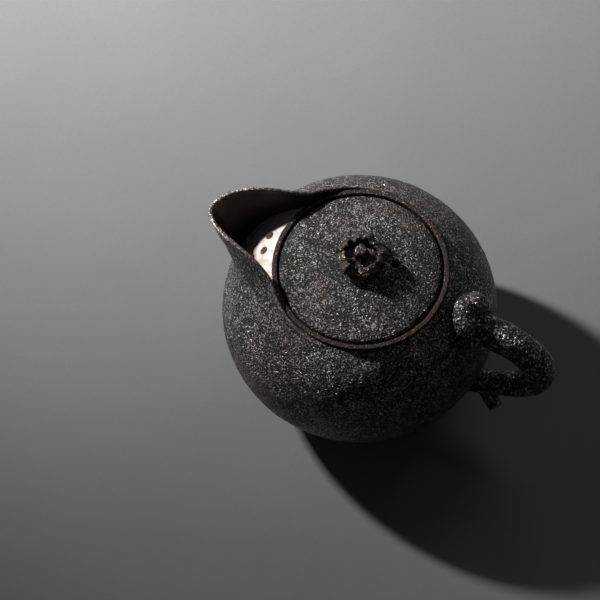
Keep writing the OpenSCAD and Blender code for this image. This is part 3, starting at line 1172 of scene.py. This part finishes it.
@dataclass
class Lid:
    """The loose lid: its dome with the vent, and the locating skirt below."""

    edge: float = 0.5 * MM
    thick: float = 3 * MM
    skirt_t: float = 2.4 * MM
    vent_r: float = 1.3 * MM
    vent_mouth: float = 0.25 * MM
    vent_out: float = 12.2 * MM
    vent_turn: float = 15.0
    columns: int = 360

    def __post_init__(self) -> None:
        """Reads the lid's circle, its ledge and its top from the frame."""
        low, high = corners("lid_plate")
        skirt_low, skirt_high = corners("lid_skirt")
        self.radius, self.ledge, self.top = high.x, low.z, high.z
        self.skirt_r, self.skirt_low = skirt_high.x, skirt_low.z
        self.rim = corners("seat_ring")[1].z
        rise = self.top - self.rim
        self.dome_r = (self.radius ** 2 + rise ** 2) / (2 * rise)
        self.dome_z = self.top - self.dome_r

    def height(self, r: float, off: float = 0.0) -> float:
        """Height of the dome at radius r, or of a shell that lies off it."""
        return self.dome_z + math.sqrt((self.dome_r + off) ** 2 - r * r)

    def plate(self) -> Piece:
        """The dome, before the vent is cut."""
        r, e = self.radius, self.edge
        inner = self.skirt_r - self.skirt_t
        outline = [(0.0, self.height(0, -self.thick))]
        outline += [(x, self.height(x, -self.thick)) for x in np.linspace(1 * MM, inner, 20)]
        outline += [(inner, self.ledge), (r - e, self.ledge)]
        outline += fillet((r, self.ledge), (inner, self.ledge), (r, self.rim), e)
        outline += [(r, self.rim - 1.4 * MM)]
        outline += fillet((r, self.rim), (r, self.ledge), (r - 5 * MM, self.height(r - 5 * MM)), 2 * e, 7)
        outline += [(x, self.height(x)) for x in np.linspace(r - 3 * e, 0.6 * MM, 90)]
        outline += [(0.0, self.height(0))]
        return lathe("lid_dome", outline, self.columns)

    def hold(self, piece: Piece) -> None:
        """Keeps the relief off the lid's edge, its seat and its underside."""
        co = np.array([v.co for v in piece.data.vertices])
        radius = np.hypot(co[:, 0], co[:, 1])
        edge = np.clip((radius - (self.radius - 1.5 * MM)) / (1.2 * MM), 0, 1)
        dome = self.dome_z + np.sqrt(np.maximum(self.dome_r ** 2 - radius ** 2, 0))
        under = np.clip((dome - co[:, 2]) / (1.0 * MM), 0, 1)
        set_attribute(piece, "hold", np.maximum(edge, under))

    def vent_place(self) -> Piece:
        """The vent's place and direction."""
        a = math.radians(self.vent_turn)
        x, y = self.vent_out * math.cos(a), self.vent_out * math.sin(a)
        return aimed_places("vent_place", [(x, y, self.height(self.vent_out))], [(0, 0, 1)])

    def skirt(self) -> Piece:
        """The locating ring under the lid."""
        out, low = self.skirt_r, self.skirt_low
        inner = out - self.skirt_t
        outline = [(inner, low), (out, low), (out, self.ledge), (inner, self.ledge)]
        return lathe("lid_locating_skirt", rounded(outline, 0.4 * MM), 240)


@dataclass
class Knob:
    """The rosette: folded leaves round a curled bud on a low base."""

    lid: Lid
    leaf_count: int = 5
    leaf_t: float = 1.5 * MM
    leaf_columns: int = 30
    leaf_rows: int = 22
    bud_rows: int = 24
    bud_columns: int = 60

    def __post_init__(self) -> None:
        """Reads the rosette's width and height from the frame."""
        low, high = corners("knob_leaves")
        self.radius = max(high.x, high.y, -low.x, -low.y)
        self.base = corners("knob_base")
        self.bud_top = corners("knob_bud")[1].z

    def base_disc(self) -> Piece:
        """The low base that the leaves grow from."""
        low, high = self.base
        r = high.x
        outline = [(0, self.lid.height(0)), (r * 0.5, self.lid.height(r * 0.5))]
        outline += [(r, self.lid.height(r) - 0.1 * MM)]
        outline += [tuple(p) for p in (bezier([(r, low.z), (r, high.z), (r * 0.55, high.z)], t)
                                       for t in np.linspace(0, 1, 12))]
        outline += [(0, high.z)]
        return lathe("rosette_base", outline, 96)

    def leaf(self, index: int) -> Piece:
        """One folded leaf, in its own place round the bud.

        Args:
            index: Which leaf.

        Returns:
            The leaf's solid.
        """
        half = 180 / self.leaf_count + (5.0 if index % 2 else 1.0)
        middle = index * 360 / self.leaf_count + 20
        wave = 0.6 * math.sin(index * 2.4)
        size = self.radius * (0.97 + 0.03 * math.cos(math.radians(index * 150))) / 1.04
        curl = np.array([[0.42, 0.9], [0.9, 0.2], [1.18, 3.2 + wave], [0.66, 4.8 + wave]])
        rows = self.leaf_rows
        rings = []
        for i in range(self.leaf_columns + 1):
            u = 1 - 2 * i / self.leaf_columns
            fall = 1 - 0.09 * u * u + 0.05 * math.sin(6 * u + index * 2.1)
            half_t = self.leaf_t * (0.52 - 0.18 * u * u)
            ring = []
            for side in (1, -1):
                for j in range(rows + 1):
                    v = j / rows if side == 1 else 1 - j / rows
                    d = (bezier(curl, v + 0.01) - bezier(curl, v - 0.01)) * [size, MM]
                    normal = np.array([d[1], -d[0]]) / np.linalg.norm(d)
                    p = bezier(curl, v) * [size * fall, MM * fall]
                    fold = 0.4 * MM * math.cos(u * 8 + index) * v
                    p = p + normal * (side * half_t + fold)
                    turn = math.radians(middle + u * half * (1 - 0.05 * v))
                    ring.append((p[0] * math.cos(turn), p[0] * math.sin(turn), self.lid.top + p[1]))
            rings.append(np.array(ring))
        return loft(f"leaf_{index}", rings)

    def bud(self) -> Piece:
        """The curled bud in the middle."""
        foot = self.base[1].z - 0.4 * MM
        r = corners("knob_bud")[1].x
        rings = []
        angles = np.linspace(0, 2 * math.pi, self.bud_columns, endpoint=False)
        for i in range(self.bud_rows + 1):
            s = i / self.bud_rows
            p = bezier([(0.75, 0), (0.8, 0.35), (1.1, 0.75), (0.75, 1.1), (0.15, 0.98)], s)
            swirl = 1 + 0.10 * np.sin(3 * angles + 3.2 * s) + 0.05 * np.sin(5 * angles - 2 * s)
            rings.append(np.stack([
                np.cos(angles) * r * p[0] * swirl * 0.9,
                np.sin(angles) * r * p[0] * swirl * 0.9,
                np.full(self.bud_columns, mix(foot, self.bud_top - 0.3 * MM, p[1] / 1.1)),
            ], axis=1))
        return loft("rosette_bud", rings)


# ---------------------------------------------------------------- studio


@dataclass(frozen=True)
class Lamp:
    """One soft rectangular light.

    Attributes:
        name: The light's name.
        turn: Degrees from the camera's right, counter-clockwise seen from above.
        up: Degrees above the horizon.
        distance: Metres from the pot.
        size: Width and height of the light.
        power: Watts.
        aim: Point that it faces, as metres to the camera's right, ahead of it and up.
        spread: Angle of its beam in degrees.
    """

    name: str
    turn: float
    up: float
    distance: float
    size: tuple[float, float]
    power: float
    aim: tuple[float, float, float]
    spread: float


@dataclass
class Studio:
    """Floor, lights and camera."""

    azimuth: float = 21.5
    elevation: float = 64.5
    distance: float = 1.8121
    lens: float = 300.0
    aim_right: float = -21.62 * MM
    aim_ahead: float = 3.30 * MM
    paper_dark: Colour = (0.135, 0.135, 0.137)
    paper_light: Colour = (0.205, 0.205, 0.208)
    paper_rough: float = 0.85
    paper_tooth: float = 0.05 * MM
    floor_half: float = 4.0
    key: Lamp = Lamp("key", turn=147.0, up=39.0, distance=0.66, size=(0.04, 0.06), power=5.6,
                     aim=(0.06, 0.42, 0.0), spread=112.0)
    fill: Lamp = Lamp("fill", turn=62.0, up=42.0, distance=1.5, size=(1.0, 0.5), power=2.1,
                      aim=(0.0, 0.0, 0.04), spread=180.0)
    room_colour: Colour = (0.9, 0.95, 1.0)
    room_light: float = 0.034

    def camera(self, level: float) -> None:
        """Sets the camera.

        Args:
            level: Height of the belly, which the camera is aimed at.
        """
        a, e = math.radians(self.azimuth), math.radians(self.elevation)
        right = Vector((math.cos(a), math.sin(a), 0))
        ahead = Vector((-math.sin(a), math.cos(a), 0))
        target = right * self.aim_right + ahead * self.aim_ahead + Vector((0, 0, level))
        back = Vector((math.sin(a) * math.cos(e), -math.cos(a) * math.cos(e), math.sin(e)))
        data = bpy.data.cameras.new("camera")
        data.lens = self.lens
        data.sensor_width = 36.0
        data.clip_start, data.clip_end = 0.05, 50.0
        camera = bpy.data.objects.new("camera", data)
        camera.location = target + back * self.distance
        camera.rotation_euler = back.to_track_quat("Z", "Y").to_euler()
        bpy.context.scene.collection.objects.link(camera)
        bpy.context.scene.camera = camera

    def floor(self) -> None:
        """A plain pale floor with a faint paper tooth."""
        graph = ShaderGraph("floor_paper")
        tooth = graph.noise(700.0, 3.0, 0.0, 0.7, graph.place)
        cloud = graph.noise(14.0, 4.0, 0.0, 0.6, graph.place)
        share = cloud * 0.55 + tooth * 0.45
        colour = graph.mix(share, self.paper_dark, self.paper_light)
        rough, metal = graph.constant(self.paper_rough), graph.constant(0.0)
        paper = graph.close(Channels(colour, rough, metal, tooth * self.paper_tooth))
        half = self.floor_half
        points = np.array([(-half, -half, 0), (half, -half, 0), (half, half, 0), (-half, half, 0)])
        floor = new_object("floor", points, [(0, 1, 2, 3)], soft=False)
        floor.data.materials.append(paper)

    def light(self, lamp: Lamp) -> None:
        """Adds one soft light."""
        data = bpy.data.lights.new(lamp.name, "AREA")
        data.shape = "RECTANGLE"
        data.size, data.size_y = lamp.size
        data.energy = lamp.power
        data.spread = math.radians(lamp.spread)
        light = bpy.data.objects.new(lamp.name, data)
        a, e = math.radians(lamp.turn + self.azimuth), math.radians(lamp.up)
        outward = Vector((math.cos(a) * math.cos(e), math.sin(a) * math.cos(e), math.sin(e)))
        light.location = outward * lamp.distance
        faced = Vector(lamp.aim)
        faced.rotate(Euler((0, 0, math.radians(self.azimuth))))
        light.rotation_euler = (light.location - faced).to_track_quat("Z", "Y").to_euler()
        bpy.context.scene.collection.objects.link(light)

    def lights(self) -> None:
        """A soft key from beyond the spout, a weak fill from behind the pot and a dim room."""
        self.light(self.key)
        self.light(self.fill)
        world = bpy.data.worlds.new("room")
        world.use_nodes = True
        room = world.node_tree.nodes["Background"]
        room.inputs[0].default_value = (*self.room_colour, 1.0)
        room.inputs[1].default_value = self.room_light
        bpy.context.scene.world = world
        bpy.context.scene.view_settings.view_transform = "Standard"


# ---------------------------------------------------------------- assembly


class Workshop:
    """Builds every piece, dresses it and sets it on its body."""

    def __init__(self) -> None:
        """Builds the shared node trees and the pot's form once."""
        self.relief = relief_tree()
        self.pierce = pierce_tree()
        self.sweep = sweep_tree()
        self.form = PotForm()

    def dress(self, piece: Piece, finish: Finish, body: Body, nodes: Sequence[str]) -> None:
        """Gives a piece its material, its body and the frame nodes that it stands for.

        Args:
            piece: The piece.
            finish: Its finish.
            body: The body that it rides on.
            nodes: The frame nodes that it replaces.
        """
        if not piece.data.materials:
            piece.data.materials.append(material(finish))
        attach(piece, body.value)
        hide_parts(*nodes)
        count = len(piece.data.polygons)
        log.info("%s: %d faces, on %s, for %s", piece.name, count, body.value, ", ".join(nodes))

    def raise_relief(self, piece: Piece, finish: Finish, lump: float, grit: float, seed: float,
                     scale: float = 150.0) -> None:
        """Raises a piece's cast relief.

        Args:
            piece: The piece.
            finish: The material that it gets.
            lump: Height of the broad lumps in millimetres.
            grit: Height of the fine grit in millimetres.
            seed: Picks one relief among many.
            scale: Lumps per metre.
        """
        grown(piece, self.relief, {
            "Lump Height": lump * MM,
            "Lump Scale": scale,
            "Grit Height": grit * MM,
            "Seed": seed,
            "Material": material(finish),
        })

    def pot(self) -> None:
        """The body, foot and seat ring."""
        pot = Pot(self.form)
        body = pot.body()
        self.raise_relief(body, Finish.BODY, lump=0.20, grit=0.20, seed=1.0)
        self.dress(body, Finish.BODY, Body.POT, ["pot_body"])
        self.dress(pot.foot(), Finish.BODY, Body.POT, ["foot"])
        ring = pot.ring()
        self.raise_relief(ring, Finish.RIM, lump=0.25, grit=0.22, seed=2.0)
        self.dress(ring, Finish.RIM, Body.POT, ["seat_ring"])

    def strainer(self) -> None:
        """The pierced panel."""
        strainer = Strainer(self.form)
        panel = strainer.panel()
        places = strainer.places()
        drill = drill_piece("hole_drill", strainer.hole_r, strainer.mouth, 2 * self.form.wall)
        self.cut(panel, places, drill, Finish.STRAINER)
        self.dress(panel, Finish.STRAINER, Body.POT, ["strainer_wall"])

    def cut(self, piece: Piece, places: Piece, drill: Piece,
            finish: Finish) -> None:
        """Cuts holes in a piece and clears the drill and its places away."""
        bpy.context.view_layer.update()
        grown(piece, self.pierce, {"Places": places, "Cutter": drill, "Material": material(finish)})
        for helper in (places, drill):
            bpy.data.objects.remove(helper)

    def beak(self) -> None:
        """The spout."""
        shell = Beak(self.form).shell()
        self.raise_relief(shell, Finish.BEAK, lump=0.18, grit=0.18, seed=1.0)
        self.dress(shell, Finish.BEAK, Body.POT, ["spout_beak"])

    def handle(self) -> None:
        """The branch, its knot and its twig."""
        handle = Handle(self.form)
        bough = handle.branch()
        grown(bough, self.sweep, {"Material": material(Finish.BRANCH)})
        self.dress(bough, Finish.BRANCH, Body.POT, ["handle_branch"])
        for piece, node in ((handle.knot(), "handle_knot"), (handle.twig(), "handle_twig")):
            self.raise_relief(piece, Finish.BRANCH, lump=0.8, grit=0.3, seed=4.0, scale=230.0)
            self.dress(piece, Finish.BRANCH, Body.POT, [node])

    def lid(self) -> Lid:
        """The lid's dome and skirt.

        Returns:
            The lid, which the knob is set on.
        """
        lid = Lid()
        dome = lid.plate()
        lid.hold(dome)
        self.raise_relief(dome, Finish.BODY, lump=0.12, grit=0.12, seed=7.0)
        drill = drill_piece("vent_drill", lid.vent_r, lid.vent_mouth, 3 * lid.thick)
        self.cut(dome, lid.vent_place(), drill, Finish.BODY)
        self.dress(dome, Finish.BODY, Body.LID, ["lid_plate"])
        self.dress(lid.skirt(), Finish.RIM, Body.LID, ["lid_skirt"])
        return lid

    def knob(self, lid: Lid) -> None:
        """The rosette, and the finish of its fixings."""
        knob = Knob(lid)
        leaves = [knob.leaf(i) for i in range(knob.leaf_count)]
        whole = self.join(leaves, "rosette_leaves")
        self.raise_relief(whole, Finish.ROSETTE, lump=0.7, grit=0.2, seed=11.0, scale=330.0)
        self.dress(whole, Finish.ROSETTE, Body.LID, ["knob_leaves"])
        for piece, node in ((knob.base_disc(), "knob_base"), (knob.bud(), "knob_bud")):
            self.raise_relief(piece, Finish.ROSETTE, lump=0.5, grit=0.15, seed=12.0, scale=330.0)
            self.dress(piece, Finish.ROSETTE, Body.LID, [node])
        for node in ("knob_tang", "knob_washer"):
            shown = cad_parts[node]
            shown.data.materials.clear()
            shown.data.materials.append(material(Finish.FIXING))

    @staticmethod
    def join(pieces: Sequence[Piece], name: str) -> Piece:
        """Makes one object of several solids."""
        points, faces, first = [], [], 0
        for piece in pieces:
            points += [tuple(v.co) for v in piece.data.vertices]
            faces += [tuple(first + i for i in p.vertices) for p in piece.data.polygons]
            first = len(points)
            bpy.data.objects.remove(piece)
        return new_object(name, np.array(points), faces)


def main() -> None:
    """Builds the studio, the pot and its lid."""
    logging.basicConfig(level=logging.INFO, format="%(name)s %(message)s")
    studio = Studio()
    workshop = Workshop()
    studio.camera(workshop.form.belly_z)
    studio.floor()
    studio.lights()
    workshop.pot()
    workshop.strainer()
    workshop.beak()
    workshop.handle()
    workshop.knob(workshop.lid())


if __name__ == "__main__":
    main()
